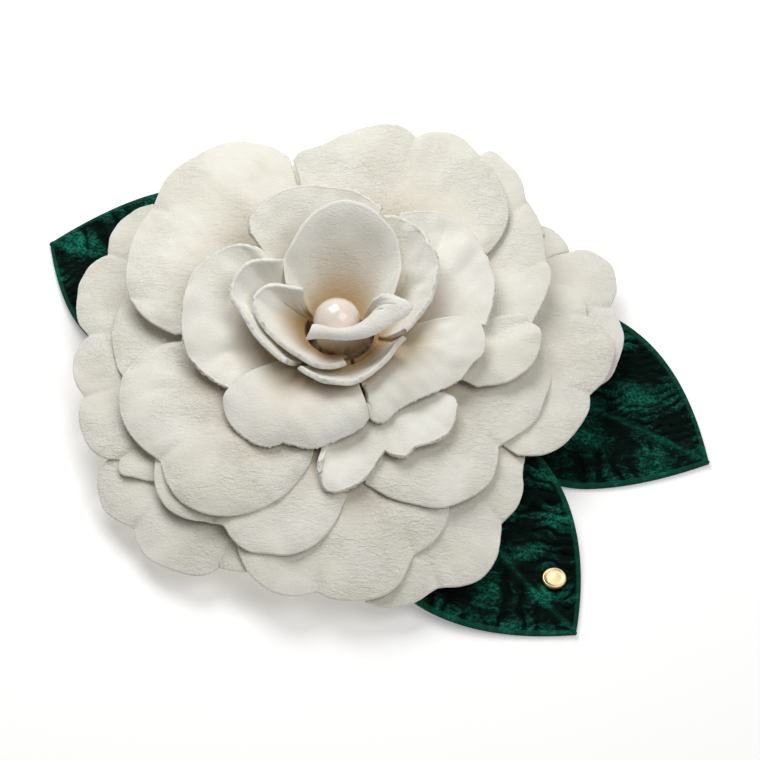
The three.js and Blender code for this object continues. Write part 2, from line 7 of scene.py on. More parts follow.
import bpy
import numpy as np
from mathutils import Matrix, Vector


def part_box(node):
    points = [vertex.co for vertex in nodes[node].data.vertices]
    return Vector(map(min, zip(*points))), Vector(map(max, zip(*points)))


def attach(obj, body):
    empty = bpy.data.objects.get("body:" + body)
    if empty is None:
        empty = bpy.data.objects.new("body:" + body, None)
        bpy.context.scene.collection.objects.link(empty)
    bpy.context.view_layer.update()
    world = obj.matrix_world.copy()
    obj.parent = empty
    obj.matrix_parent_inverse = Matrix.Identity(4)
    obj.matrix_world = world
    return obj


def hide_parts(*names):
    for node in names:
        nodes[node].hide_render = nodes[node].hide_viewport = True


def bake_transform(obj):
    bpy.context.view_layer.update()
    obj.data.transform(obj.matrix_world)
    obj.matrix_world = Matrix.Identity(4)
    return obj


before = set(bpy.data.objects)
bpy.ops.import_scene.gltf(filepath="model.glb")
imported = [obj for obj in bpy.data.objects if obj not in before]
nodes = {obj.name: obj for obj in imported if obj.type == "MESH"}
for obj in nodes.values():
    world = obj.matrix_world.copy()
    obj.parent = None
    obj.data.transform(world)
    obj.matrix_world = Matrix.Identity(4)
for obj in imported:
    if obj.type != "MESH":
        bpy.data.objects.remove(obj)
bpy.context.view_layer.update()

MM = 0.001
disc_low, disc_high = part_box("backing_disc")
AXIS = np.array([(disc_low[0] + disc_high[0]) / 2, (disc_low[1] + disc_high[1]) / 2, 0.0])

# ------------------------------------------------------------------ driving dimensions
LEATHER = 0.8
CUT_LEATHER = 1.15  # the thicker inner petals, whose edges are left raw
LEAF_THICKNESS = 0.9
LEAF_ROOT_Z = 11.95  # the leaf's upper side, where the disc holds it
LEAF_DROP = 11.05
LEAF_STEM = 3.5
LEAF_FLAT_TO = 24
DISC_RADIUS = 26
DISC_BOTTOM = 9.3
DISC_THICKNESS = 1.4
CORE_RADIUS = 8.4
CORE_BOTTOM = 11
CORE_TOP = 21.6
POST_HOLE_RADIUS = 1.0  # the same in the core and in the pearl
POST_HOLE_BOTTOM = 19.2
POST_HOLE_TOP = 27.5
POST_RADIUS = 0.7
POST_BOTTOM = 19.5
POST_TOP = 27
PEARL_RADIUS = 5
PEARL_AXIS = (-1, -0.5)
PEARL_Z = 26.8
STUD_AT = (44.3, -49)
STUD_RADIUS = 2.5
STUD_BOTTOM = 2.2
STUD_HEIGHT = 0.8
HINGE_X = 8
HINGE_Z = 5.2
SPRING_RADIUS = 2.05
SPRING_WIRE = 0.35
SPRING_TURNS = 3
SPRING_HALF = 1.35  # half the length of the coil along the pin
SPRING_LEG_END = 15
SPRING_UPPER_LEG = 7.55
SPRING_LOWER_LEG = 2.6
STRAP_LEFT, STRAP_RIGHT = -16, -7
STRAP_REACH = 11
STRAP_BEND = 5.0
STRAP_TOP_ON_PLATE = 7.9
STRAP_TOP_ON_DISC = 9.0
STRAP_THICKNESS = 0.8


def smoothstep(x, low, high):
    t = np.clip((np.asarray(x, float) - low) / (high - low), 0, 1)
    return t * t * (3 - 2 * t)


def add_mesh(name, points, faces, material):
    """A smooth-shaded piece from points in millimetres about the flower's axis."""
    mesh = bpy.data.meshes.new(name)
    mesh.from_pydata((np.asarray(points) * MM + AXIS).tolist(), [], [list(f) for f in faces])
    mesh.update()
    mesh.materials.append(material)
    mesh.polygons.foreach_set("use_smooth", [True] * len(mesh.polygons))
    piece = bpy.data.objects.new(name, mesh)
    bpy.context.scene.collection.objects.link(piece)
    return piece


def add_attribute(piece, name, values):
    attribute = piece.data.attributes.new(name, "FLOAT", "POINT")
    attribute.data.foreach_set("value", np.asarray(values, np.float32))


def stands_for(piece):
    """The piece rides the flower and replaces the CAD node of its own name, less its _look."""
    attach(piece, "flower")
    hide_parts(piece.name.removesuffix("_look"))


# ------------------------------------------------------------------ material helpers
class Nodes:
    """A short way to write a material's node tree."""

    def __init__(self, name):
        self.material = bpy.data.materials.new(name)
        self.material.use_nodes = True
        self.tree = self.material.node_tree
        self.shader = self.tree.nodes["Principled BSDF"]
        self.place = self.tree.nodes.new("ShaderNodeTexCoord").outputs["Object"]

    def add(self, kind, settings=None, **inputs):
        node = self.tree.nodes.new("ShaderNode" + kind)
        for key, value in (settings or {}).items():
            setattr(node, key, value)
        for key, value in inputs.items():
            self.give(node.inputs[key.replace("_", " ")], value)
        return node

    def give(self, socket, value):
        if isinstance(value, bpy.types.NodeSocket):
            self.tree.links.new(value, socket)
        else:
            socket.default_value = value

    def set(self, **inputs):
        for key, value in inputs.items():
            self.give(self.shader.inputs[key.replace("_", " ")], value)

    def noise(self, scale, detail=3.0, roughness=0.55, distortion=0.0):
        """Noise over the object; scale is in cells per metre along X, Y and Z."""
        vector = self.add("Mapping", Vector=self.place, Scale=scale).outputs[0]
        inputs = dict(Vector=vector, Scale=1.0, Detail=detail, Roughness=roughness)
        return self.add("TexNoise", Distortion=distortion, **inputs).outputs["Fac"]

    def math(self, operation, a, b=0.0):
        node = self.add("Math", {"operation": operation})
        self.give(node.inputs[0], a)
        self.give(node.inputs[1], b)
        return node.outputs[0]

    def ramp(self, value, low, high, to_low=0.0, to_high=1.0):
        node = self.add("MapRange", {"interpolation_type": "SMOOTHSTEP"})
        for key, number in zip(range(5), (value, low, high, to_low, to_high)):
            self.give(node.inputs[key], number)
        return node.outputs[0]

    def mix(self, share, a, b):
        node = self.add("Mix", {"data_type": "RGBA"})
        self.give(node.inputs[0], share)
        self.give(node.inputs[6], a)
        self.give(node.inputs[7], b)
        return node.outputs[2]

    def attribute(self, name):
        return self.add("Attribute", {"attribute_name": name}).outputs["Fac"]

    def bump(self, height, distance, strength=1.0, normal=None):
        node = self.add("Bump", Height=height, Distance=distance, Strength=strength)
        if normal is not None:
            self.give(node.inputs["Normal"], normal)
        return node.outputs[0]


def rgb(*screen):
    """A linear colour from 0-255 red, green and blue screen values."""
    linear = [((c / 255 + 0.055) / 1.055) ** 2.4 if c > 10 else c / 255 / 12.92 for c in screen]
    return (*linear, 1.0)


# ------------------------------------------------------------------ materials
def leather_material(name, light, shade, tan, crinkle):
    """Matt nappa: fine crinkles, a little longer across the flower, pores, painted shade in tan
    towards the petals' roots and on their undersides, and pale fibres on a raw edge."""
    m = Nodes(name)
    drift = m.noise((90, 90, 90), detail=2)
    mottle = m.noise((420, 420, 420), detail=4)
    raw = m.attribute("raw")
    colour = m.mix(m.ramp(drift, 0.35, 0.65), light, shade)
    colour = m.mix(m.ramp(mottle, 0.45, 0.8, 0, 0.35), colour, shade)
    # Painted shade: tan mixed in towards the petals' roots and on their undersides, where shade falls;
    # on the strap an even, slight tan.
    colour = m.mix(m.attribute("depth"), colour, tan)
    fibre = m.noise((3200, 3200, 3200), detail=3, roughness=0.7)
    colour = m.mix(m.math("MULTIPLY", raw, fibre), colour, rgb(246, 244, 236))
    wrinkle = m.noise((700, 1500, 1200), detail=5, roughness=0.6, distortion=1.2)
    soft = m.noise((260, 520, 420), detail=2, distortion=1.0)
    pores = m.noise((2400, 2400, 2400), detail=2)
    where = m.ramp(m.noise((70, 70, 70), detail=1), 0.35, 0.62, 0.3, 1.0)
    height = m.math("MULTIPLY", m.math("ADD", wrinkle, m.math("MULTIPLY", soft, 0.3)), where)
    normal = m.bump(height, 0.0005 * crinkle, 0.7)
    normal = m.bump(pores, 0.00013, 0.6, normal)
    normal = m.bump(m.math("MULTIPLY", raw, fibre), 0.0002, 0.6, normal)
    m.set(Base_Color=colour, Normal=normal)
    m.set(Roughness=m.ramp(mottle, 0.3, 0.8, 0.62, 0.78))
    m.set(Specular_IOR_Level=0.28, Sheen_Weight=0.12, Sheen_Roughness=0.6)
    return m.material


def velvet_material():
    """Crushed velvet: painted shade darkens the grooves, and teal speckle is painted where the pile
    catches the light.
    """
    m = Nodes("velvet_green")
    crush = m.noise((230, 420, 300), detail=5, roughness=0.65, distortion=1.6)
    speck = m.noise((1500, 1700, 1500), detail=3, roughness=0.75)
    # Painted highlight on the leaves' ridges, the midrib and in broad patches; painted shade in the
    # grooves.
    ridge = m.math("MULTIPLY", m.attribute("ridge"), 0.25)
    lie_and_sheen = m.math("ADD", m.math("MULTIPLY", crush, 0.6), ridge)
    share = m.math("MULTIPLY", m.ramp(lie_and_sheen, 0.47, 0.79), m.ramp(speck, 0.38, 0.62, 0.12, 1.1))
    colour = m.mix(share, rgb(0, 14, 10), rgb(22, 128, 102))
    # Painted highlight: a lighter teal along the raised bound edge and the midrib.
    colour = m.mix(m.math("MULTIPLY", m.attribute("bound"), 0.35), colour, rgb(20, 112, 88))
    normal = m.bump(crush, 0.0012, 0.6)
    normal = m.bump(speck, 0.0003, 0.7, normal)
    m.set(Base_Color=colour, Normal=normal, Roughness=m.ramp(share, 0, 1, 0.75, 0.5))
    m.set(Specular_IOR_Level=0.08, Sheen_Weight=0.12, Sheen_Roughness=0.35)
    m.set(Sheen_Tint=(0.02, 0.5, 0.33, 1.0))
    return m.material


def pearl_material():
    m = Nodes("pearl_nacre")
    cloud = m.noise((160, 160, 160), detail=2)
    facing = m.add("LayerWeight", Blend=0.35).outputs["Facing"]
    body = m.mix(m.ramp(cloud, 0.35, 0.65), rgb(246, 236, 226), rgb(242, 228, 217))
    colour = m.mix(m.ramp(facing, 0.15, 0.95), body, rgb(236, 208, 188))
    m.set(Base_Color=colour, Roughness=m.ramp(cloud, 0, 1, 0.2, 0.3))
    m.set(Coat_Weight=0.8, Coat_Roughness=0.12, Specular_IOR_Level=0.5)
    m.set(Sheen_Weight=0.2, Sheen_Roughness=0.3, Sheen_Tint=(1.0, 0.85, 0.8, 1.0))
    return m.material


def metal_material(name, light, dark, grain, roughness):
    """Brushed metal: grain is cells per metre, few along the brushing and many across it."""
    m = Nodes(name)
    brush = m.noise(grain, detail=4, roughness=0.7)
    stain = m.noise((180, 180, 180), detail=3)
    m.set(Base_Color=m.mix(m.ramp(stain, 0.35, 0.75), light, dark), Metallic=1.0)
    m.set(Roughness=m.ramp(brush, 0.25, 0.75, roughness - 0.07, roughness + 0.1))
    m.set(Normal=m.bump(brush, 0.00004, 0.5))
    return m.material


def felt_material(name, dark, light):
    m = Nodes(name)
    tuft = m.noise((700, 700, 700), detail=6, roughness=0.75, distortion=1.2)
    fibre = m.noise((2600, 900, 1800), detail=4, roughness=0.8, distortion=2.0)
    colour = m.mix(m.ramp(tuft, 0.3, 0.7), dark, light)
    normal = m.bump(m.math("ADD", tuft, fibre), 0.0006, 0.8)
    m.set(Base_Color=colour, Normal=normal, Roughness=m.ramp(fibre, 0, 1, 0.85, 0.98))
    m.set(Sheen_Weight=0.35, Sheen_Roughness=0.6, Specular_IOR_Level=0.15)
    return m.material


# The tan is the colour of painted shade, towards the petals' roots and on their undersides.
IVORY, IVORY_SHADE, PAINTED_SHADE_TAN = rgb(242, 240, 230), rgb(235, 232, 219), rgb(176, 146, 98)
# The raw-edged inner petals and the tall back petal are the same ivory painted a little lighter: painted
# light for the light inside the flower's cup.
RAW_IVORY_LIT, RAW_TONE_LIT = rgb(246, 245, 237), rgb(238, 236, 225)
STEEL_LIGHT, STEEL_DARK = rgb(196, 199, 203), rgb(150, 152, 156)
GOLD_LIGHT, GOLD_DARK = rgb(246, 210, 165), rgb(232, 190, 140)
LEATHER_SMOOTH = leather_material("leather_ivory", IVORY, IVORY_SHADE, PAINTED_SHADE_TAN, 1.35)
LEATHER_CUT = leather_material("leather_ivory_raw", RAW_IVORY_LIT, RAW_TONE_LIT, PAINTED_SHADE_TAN, 0.5)
VELVET = velvet_material()
PEARL = pearl_material()
STEEL = metal_material("steel_brushed", STEEL_LIGHT, STEEL_DARK, (120, 3500, 3500), 0.32)
GOLD = metal_material("gold_plate", GOLD_LIGHT, GOLD_DARK, (900, 900, 900), 0.42)
FELT = felt_material("felt_ivory", rgb(214, 207, 190), rgb(233, 229, 216))
# The core's felt is darker and warmer than the disc's: painted shade for the gaps between the heart
# petals' roots.
CORE_FELT_SHADED = felt_material("felt_tan", rgb(150, 122, 82), rgb(186, 160, 118))
THREAD = leather_material("thread_ivory", rgb(226, 220, 204), rgb(206, 198, 178), PAINTED_SHADE_TAN, 0.3)

# ------------------------------------------------------------------ closed sheets
EDGE_STEPS = (0, 0.05, 0.14, 0.3, 0.55, 0.95, 1.5, 2.3)  # rows near an edge, where it rounds off
# An edge's rounding: how far in it reaches, and how much of the squared thickness it takes off.
Edge = namedtuple("Edge", "reach taken")
WORN_EDGE = Edge(0.36, 0.94)
RAW_EDGE = Edge(0.18, 0.55)


def rounded(distance, thickness, edge=WORN_EDGE):
    """Half the thickness at a distance from the nearest edge: a rounded edge, then flat."""
    outside = np.clip(1 - distance / edge.reach, 0, 1)
    return thickness / 2 * np.sqrt(1 - edge.taken * outside**2)


def normals_of(grid):
    """Upward normals of a rows by columns by 3 grid whose rows run outwards to the rim."""
    along = np.gradient(grid, axis=0)
    across = np.gradient(grid, axis=1)
    normal = np.cross(along, across)
    return normal / np.maximum(np.linalg.norm(normal, axis=2, keepdims=True), 1e-9)


def closed_sheet(name, middle, half, material):
    """A closed sheet from its middle surface and half its thickness, each given on a grid. Its
    points are the upper side's, then the lower side's."""
    rows, columns = half.shape
    normal = normals_of(middle) * half[..., None]
    points = np.concatenate([(middle + normal).reshape(-1, 3), (middle - normal).reshape(-1, 3)])
    low = rows * columns
    index = np.arange(low).reshape(rows, columns)
    a, b, c, d = index[:-1, :-1], index[1:, :-1], index[1:, 1:], index[:-1, 1:]
    top = np.stack([a, b, c, d], axis=-1).reshape(-1, 4)
    faces = [top, top[:, ::-1] + low]
    border = np.concatenate([index[0, :], index[1:, -1], index[-1, -2::-1], index[-2:0:-1, 0]])
    after = np.roll(border, -1)
    faces.append(np.stack([border, after, after + low, border + low], axis=-1))
    return add_mesh(name, points, np.concatenate(faces), material)


WAVE_COUNT = 7
WAVE_SPREAD = 2.6  # about the square root of the count, so the sum is about the amplitude


def waves(x, y, seed, amplitude, length):
    """A gentle seeded undulation over the plan."""
    draw = np.random.default_rng(seed)
    height = np.zeros_like(x)
    for _ in range(WAVE_COUNT):
        heading = draw.uniform(0, 2 * math.pi)
        number = 2 * math.pi / (length * draw.uniform(0.7, 1.5))
        phase = draw.uniform(0, 2 * math.pi)
        height += np.sin(number * (x * math.cos(heading) + y * math.sin(heading)) + phase)
    return amplitude * height / WAVE_SPREAD


def fold(x, y, start, end, width, height):
    """A soft raised fold, or a crease where height is negative, along a line in plan."""
    (x0, y0), (x1, y1) = start, end
    run, rise = x1 - x0, y1 - y0
    share = np.clip(((x - x0) * run + (y - y0) * rise) / (run * run + rise * rise), 0, 1)
    gap = np.hypot(x - x0 - share * run, y - y0 - share * rise)
    return height * np.exp(-((gap / width) ** 2)) * (1 - 0.6 * share)


# ------------------------------------------------------------------ petals
# The rims follow the CAD model's, with a rounder upper corner on heart_petal_left: lobes,
# anticlockwise, each a smooth curve through its points, (x, y) for the petals that hang over a
# ring and (x, y, z) for the cupped ones.
# A ring's petals start at its root radius and height, rise towards the rim, and droop beyond that.
Ring = namedtuple("Ring", "root z rise fall")
RINGS = {
    "outerLow": Ring(9.5, 14.2, 0, 7),
    "outerHigh": Ring(9.5, 15.5, 0, 6.7),
    "middleLow": Ring(9, 16.9, 0, 6.2),
    "middleLowBack": Ring(9, 16.9, 2.5, 0),
    "middleHigh": Ring(8.5, 18.2, 0, 4.5),
    "middleHighRight": Ring(8.5, 18.2, 2.5, 0),
    "middleHighLeft": Ring(8.5, 18.2, 4, 2),
    "middleHighBack": Ring(8.5, 18.2, 6.5, 2),
}
FRONT_DROOP = 2
RING_START = 9.5  # where the rise and the droop begin
RING_SPAN = 50
Petal = namedtuple("Petal", "name base bow crest pinch centre lobes", defaults=(0, 0, 0, (0, 0), ()))


def petal_table():
    return [
        Petal("outer_petal_front_left", "outerLow", lobes=[
            [(-43.5, -15), (-50, -24), (-51.5, -27.5), (-51, -31), (-50, -34), (-47.5, -36.5),
             (-43.5, -39)],
            [(-43.5, -39), (-42.5, -42.5), (-40, -46), (-34.5, -49), (-29.5, -50.5), (-27, -50),
             (-25.5, -49)],
            [(-25.5, -49), (-22.5, -50), (-19.5, -50.5), (-9.5, -49)],
        ]),
        Petal("outer_petal_front_right", "outerLow", lobes=[
            [(5, -57), (9.5, -58), (14.5, -57), (20, -53.5)],
            [(20, -53.5), (24.5, -53), (29, -51), (32, -47), (33, -43), (33.5, -39)],
            [(33.5, -39), (36.5, -35.5), (38, -31.5), (38, -27), (40, -18)],
        ]),
        Petal("outer_petal_right_back", "outerLow", lobes=[
            [(45.5, -8), (56.5, -3), (59.5, 3), (61, 9), (60.5, 13), (58.5, 17.5)],
            [(58.5, 17.5), (60, 23), (59.5, 28), (57.5, 31.5), (54.5, 33), (50, 32)],
            [(50, 32), (48.5, 35.5), (45.5, 38), (41.5, 39), (35.5, 38)],
        ]),
        Petal("outer_petal_back_left", "outerLow", lobes=[
            [(11, 44.5), (3.5, 52), (-9, 52), (-19, 47.5)],
            [(-19, 47.5), (-28, 45), (-33.5, 37), (-29.5, 27)],
        ]),
        Petal("outer_petal_left", "outerHigh", lobes=[
            [(-42.5, 44), (-46.5, 42.5), (-50, 39), (-51.5, 35), (-52, 30)],
            [(-52, 30), (-55, 28), (-57.5, 23), (-58, 17), (-57.5, 12), (-55, 8)],
            [(-55, 8), (-57, 5), (-58, 0.5), (-57, -4.5), (-55, -8)],
            [(-55, -8), (-56, -12), (-55, -17), (-53, -21), (-50, -23.5), (-47, -24)],
            [(-47, -24), (-46.5, -27.5), (-43, -29), (-39.5, -30), (-37, -30)],
        ]),
        Petal("outer_petal_front", "outerHigh", lobes=[
            [(-22.5, -40), (-21, -47.5), (-18.5, -52), (-14, -55.5), (-9, -56.5), (-5, -55.5)],
            [(-5, -55.5), (-2, -57), (3, -57.5), (8.5, -56.5), (12, -54), (15, -48)],
            [(15, -48), (19.5, -44.5), (22, -40), (22.5, -35.5)],
        ]),
        Petal("outer_petal_right", "outerHigh", lobes=[
            [(37, -24.5), (41.5, -24), (46.5, -21), (50, -16.5), (52.5, -11.5), (53, -7.5)],
            [(53, -7.5), (56, -4), (58, 1), (58.5, 5.5), (57, 9.5), (53, 13)],
            [(53, 13), (52.5, 16.5), (50, 20), (39.5, 21)],
        ]),
        Petal("outer_petal_back_right", "outerHigh", lobes=[
            [(44.5, 35), (42.5, 41), (40, 45.5), (37, 48)],
            [(37, 48), (25.5, 47.5), (13, 52.5), (3.5, 50)],
        ]),
        Petal("middle_petal_left", "middleLow", lobes=[
            [(-36.5, 21), (-47, 16), (-48.5, 12), (-49.5, 6), (-49, 1), (-47.5, -4), (-41.5, -10.5)],
        ]),
        Petal("middle_petal_front_left", "middleLow", lobes=[
            [(-38.5, -21.5), (-39, -31.5), (-36.5, -37), (-32, -40), (-27, -41)],
            [(-27, -41), (-24.5, -42), (-22.5, -45), (-19.5, -47.5), (-15, -48.5), (-10.5, -49),
             (-5.5, -47), (-1.5, -42.5), (1, -36.5)],
        ]),
        Petal("middle_petal_front_right", "middleLow", lobes=[
            [(5, -33.5), (10, -36.5), (15.5, -38), (20.5, -38.5), (26.5, -36), (31, -32),
             (32.5, -28), (33, -23.5)],
            [(33, -23.5), (36.5, -21), (41, -16.5), (43, -11), (44.5, -6), (43.5, 0)],
        ]),
        Petal("middle_petal_right_back", "middleLowBack", lobes=[
            [(40, 4), (42.5, 9.5), (44.5, 14.5), (45, 18), (44, 21)],
            [(44, 21), (43.5, 27), (42.5, 32.5), (40, 36.5)],
            [(40, 36.5), (39, 42.5), (36, 47), (32.5, 50), (22.5, 42.5)],
        ]),
        Petal("middle_petal_back", "middleLow", lobes=[
            [(7.5, 43.5), (-1, 50.5), (-9.5, 52.5), (-14, 50)],
            [(-14, 50), (-22, 44), (-29, 34.5)],
        ]),
        Petal("big_petal_front_left", "middleHigh", lobes=[
            [(-34, 1), (-40.5, 0.5), (-45, -3.5), (-47, -8.5), (-47, -14.5), (-45, -20),
             (-41.5, -24.5), (-38, -27.5)],
            [(-38, -27.5), (-36.5, -32.5), (-33.5, -37), (-29, -40), (-24.5, -41), (-19, -40.5),
             (-12.5, -37.5), (-8.5, -33), (-6.5, -29.5)],
        ]),
        Petal("big_petal_back_left", "middleHighLeft", lobes=[
            [(-12, 48.5), (-16.5, 51.5), (-23.5, 52.5), (-29.5, 50.5), (-35, 46.5), (-39, 42),
             (-41.5, 35)],
            [(-41.5, 35), (-45, 28), (-46.5, 20), (-46.5, 15), (-45.5, 11)],
            [(-45.5, 11), (-42.5, 6), (-38, 3), (-35.5, 1.5)],
        ]),
        Petal("big_petal_back_right", "middleHighBack", lobes=[
            [(29.5, 20.5), (33, 24), (35, 27.5), (36, 33), (34.5, 39), (32, 44.5), (29, 48),
             (27, 50.5), (23.5, 53), (19.5, 53.5), (16, 52.5)],
            [(16, 52.5), (12.5, 55), (9, 55.5), (4, 54.5), (-0.5, 52.5), (-5, 50), (-9.5, 48.5),
             (-11, 46.5)],
        ]),
        Petal("big_petal_right", "middleHighRight", lobes=[
            [(28.5, -11.5), (35.5, -10), (40, -6.5), (42, -1.5), (42, 3), (39, 6.5)],
        ]),
        Petal("inner_petal_left", (7.5, 19.4), lobes=[
            [(-17, 15.5, 29), (-19, 16.5, 30.5), (-22.5, 17.5, 30), (-26, 16.5, 29),
             (-30, 13.5, 28.5), (-32.5, 10, 27.5), (-33.5, 6, 26.5), (-34, 1.5, 25),
             (-33.5, -3, 23.5), (-32, -6.5, 21.5), (-29.5, -9.5, 21), (-26.5, -12, 20.5), (-24, -13, 20),
             (-20.5, -13, 19.5)],
        ]),
        Petal("inner_petal_back", (7.5, 19.4), bow=-1, lobes=[
            [(8.5, 26.5, 31), (6, 28.5, 31.5), (2.5, 30.5, 32), (-2.5, 31.5, 32), (-7, 32, 32),
             (-11.5, 31, 32), (-15.5, 29, 31.5), (-18, 26.5, 31), (-20, 23.5, 30.5), (-20, 20.5, 29.5)],
        ]),
        Petal("inner_petal_right_back", (7.5, 19.4), bow=-0.5, lobes=[
            [(30.5, 2, 22), (32, 6.5, 23), (32.5, 12, 24), (31, 17.5, 25), (28.5, 22, 26),
             (25, 26.5, 27), (21, 28, 27.5), (16.5, 28, 28), (12.5, 27, 28.5)],
        ]),
        Petal("inner_petal_front_right", (7.5, 19.4), lobes=[
            [(-4, -30.5, 18.5), (-4.5, -33.5, 17.5), (-3.5, -36, 16.5), (-1, -36.5, 16),
             (2, -35.5, 16), (5, -33.5, 16.5), (9, -27.5, 18)],
            [(9, -27.5, 18), (11.5, -29, 18), (13.5, -29, 18), (15.5, -27, 18.5), (20.5, -25, 18.5),
             (22.5, -23, 18.5), (24, -19, 19), (24, -16, 19.5), (22, -14.5, 20)],
        ]),
        Petal("inner_petal_front_left", (7, 20.9), crest=2.5, lobes=[
            [(-23.5, -13.5, 20), (-24.5, -16, 19.5), (-24, -19.5, 19), (-20.5, -24, 18.5),
             (-16.5, -26.5, 18.5), (-14, -26.5, 18.5), (-12, -26, 19)],
            [(-12, -26, 19), (-8.5, -27, 19), (-6, -27.5, 19), (-2.5, -26.5, 19.5), (1, -25, 20),
             (4, -23, 20.5), (5.5, -21, 21)],
        ]),
        Petal("inner_petal_right", (7, 20.9), crest=1.6, lobes=[
            [(6, -18, 21.5), (7, -21.5, 20.5), (8.5, -22, 20.5), (12, -19, 21), (16.5, -16.5, 21.5),
             (20.5, -14.5, 21.5), (25, -12, 22), (27.5, -8.5, 23)],
            [(27.5, -8.5, 23), (29.5, -6.5, 23), (30, -3, 23.5), (29, 0.5, 24), (27, 2, 24.5)],
        ]),
        Petal("inner_petal_back_right", (7.8, 22.1), bow=-1.5, lobes=[
            [(13.5, -3, 27), (16.5, 0.5, 28), (18.5, 3.5, 29), (20, 7, 30), (20.5, 11, 30.5),
             (20, 14, 31.5), (18.5, 17.5, 32), (16.5, 20, 32.5), (14, 21.5, 33), (11, 22.5, 33.5),
             (9, 22.5, 33.5)],
        ]),
        Petal("heart_petal_left", (9.3, 22.3), bow=-1.5, centre=PEARL_AXIS, lobes=[
            [(-12.5, 13.5, 29.5), (-14, 11.8, 32.3), (-16.5, 11.6, 33), (-20, 11, 32.5),
             (-22, 9, 32), (-23.5, 6.5, 31), (-23.5, 3, 30.5), (-21.5, -0.5, 30),
             (-19.5, -4, 29.5), (-17, -7.5, 29), (-14, -10.5, 28.5), (-11.5, -12, 28)],
        ]),
        Petal("heart_petal_front", (9.3, 22.3), bow=-1, centre=PEARL_AXIS, lobes=[
            [(-9, -12.5, 26.5), (-6.5, -14.5, 26.5), (-4, -16, 26.5), (-0.5, -16.5, 26.5),
             (2.5, -16.5, 26.5), (5.5, -15, 27), (8, -13, 27), (10, -11, 27.5), (12, -8, 28),
             (13.5, -6, 28.5)],
        ]),
        Petal("heart_petal_back", (5.9, 22.4), bow=-2, centre=PEARL_AXIS, lobes=[
            [(10.5, 5, 28), (12, 9.5, 30.5), (12, 13, 32), (11, 17, 34.5), (8.5, 19.5, 36.5),
             (6, 21, 38), (2.5, 22, 39), (-1, 22, 39), (-4.5, 21, 38), (-7.5, 19, 36.5),
             (-10, 15.5, 34.5), (-12, 12.5, 32), (-12, 10.5, 31), (-11.5, 7.5, 29.5)],
        ]),
        Petal("heart_petal_inner_left", (7.2, 23), bow=-0.5, centre=PEARL_AXIS, lobes=[
            [(-8, 4.5, 32), (-10, 5, 32), (-13.5, 6, 31.5), (-16, 6, 31), (-18, 4.5, 30.5),
             (-19, 3, 30), (-18.5, 0, 29.5), (-16.5, -3.5, 29), (-14.5, -6, 28.5), (-11.5, -9, 28),
             (-8.5, -11, 27.5), (-5, -12.5, 27), (-2, -12.5, 26.5), (1, -11.5, 26.5)],
        ]),
        Petal("heart_petal_lip", (5.6, 22.4), crest=3.4, pinch=0.3, centre=PEARL_AXIS, lobes=[
            [(-7.5, -8, 31), (-4.5, -7.5, 31), (-1, -8, 31), (2.5, -8, 31), (6, -7.5, 31.5),
             (8.5, -6.5, 32), (11, -5, 32.5), (13.5, -3.5, 33), (14.5, -2, 33.5), (12, -0.5, 34),
             (9.5, 0, 34.5)],
        ]),
    ]


# How each kind of petal lies, by the first word of its name: how far its rim curls down and over
# what width, how much each lobe is domed, how wavy it is, and its thickness.
Manner = namedtuple("Manner", "curl curl_width dome wave thickness")
MANNERS = {
    "outer": Manner(0.4, 4, 0.25, 0.22, LEATHER),
    "middle": Manner(0.6, 4, 0.25, 0.22, LEATHER),
    "big": Manner(1.2, 4.5, 0.3, 0.25, LEATHER),
    "inner": Manner(0.3, 3, 0.1, 0.22, CUT_LEATHER),
    "heart": Manner(0.0, 3, 0.0, 0.12, CUT_LEATHER),
}
SPOON = Manner(0.8, 2.5, 0.0, 0.12, LEATHER)  # the tall back petal, whose rim rolls back
# Folds that single petals show: start, end, width and height.
FOLDS = {
    "big_petal_right": [
        ((41, 1), (33, -3), 1.6, 0.9),
        ((40, 5), (32, 1), 1.4, -0.7),
        ((39, 6), (32, 5), 1.3, 0.8),
    ],
    "inner_petal_back_right": [
        ((19, 16), (15, 6), 1.0, 0.8),
        ((16.5, 19), (13, 9), 0.9, -0.6),
        ((14, 20), (12, 10), 0.9, 0.6),
    ],
    "inner_petal_right_back": [((26, 20), (21, 12), 2.2, 1.3), ((22, 24), (18, 14), 1.6, -0.8)],
}
COLUMN_STEP = 0.6
ROOT_ROWS = 20
SIDE_ROWS = 6  # the first steps of EDGE_STEPS, which a petal's two sides get too
SHORT_WAVE = 4.5
LONG_WAVE = 11
NOTCH_LENGTH = 5
NOTCH_WIDTH = 0.9
NOTCH_DEPTH = 0.55
FRAY = 0.022  # how much a raw edge's fibres stray
FRAY_WIDTH = 0.6


def smooth_curve(points):
    """A fine polyline of the centripetal Catmull-Rom curve through the points."""
    given = np.array([(*point, 0.0)[:3] for point in points])
    p = np.vstack([2 * given[0] - given[1], given, 2 * given[-1] - given[-2]])
    t = np.linspace(0, 1, 24, endpoint=False)[:, None]
    pieces = []
    for a, b, c, d in zip(p, p[1:], p[2:], p[3:]):
        before, here, after = (np.linalg.norm(v) ** 0.5 for v in (b - a, c - b, d - c))
        leave = ((b - a) / before - (c - a) / (before + here) + (c - b) / here) * here
        arrive = ((c - b) / here - (d - b) / (here + after) + (d - c) / after) * here
        cubic = 2 * b - 2 * c + leave + arrive
        square = -3 * b + 3 * c - 2 * leave - arrive
        pieces.append(b + leave * t + square * t**2 + cubic * t**3)
    return np.vstack([*pieces, given[-1:]])


def lengths_along(line):
    steps = np.linalg.norm(np.diff(line, axis=0), axis=1)
    return np.concatenate([[0], np.cumsum(steps)])


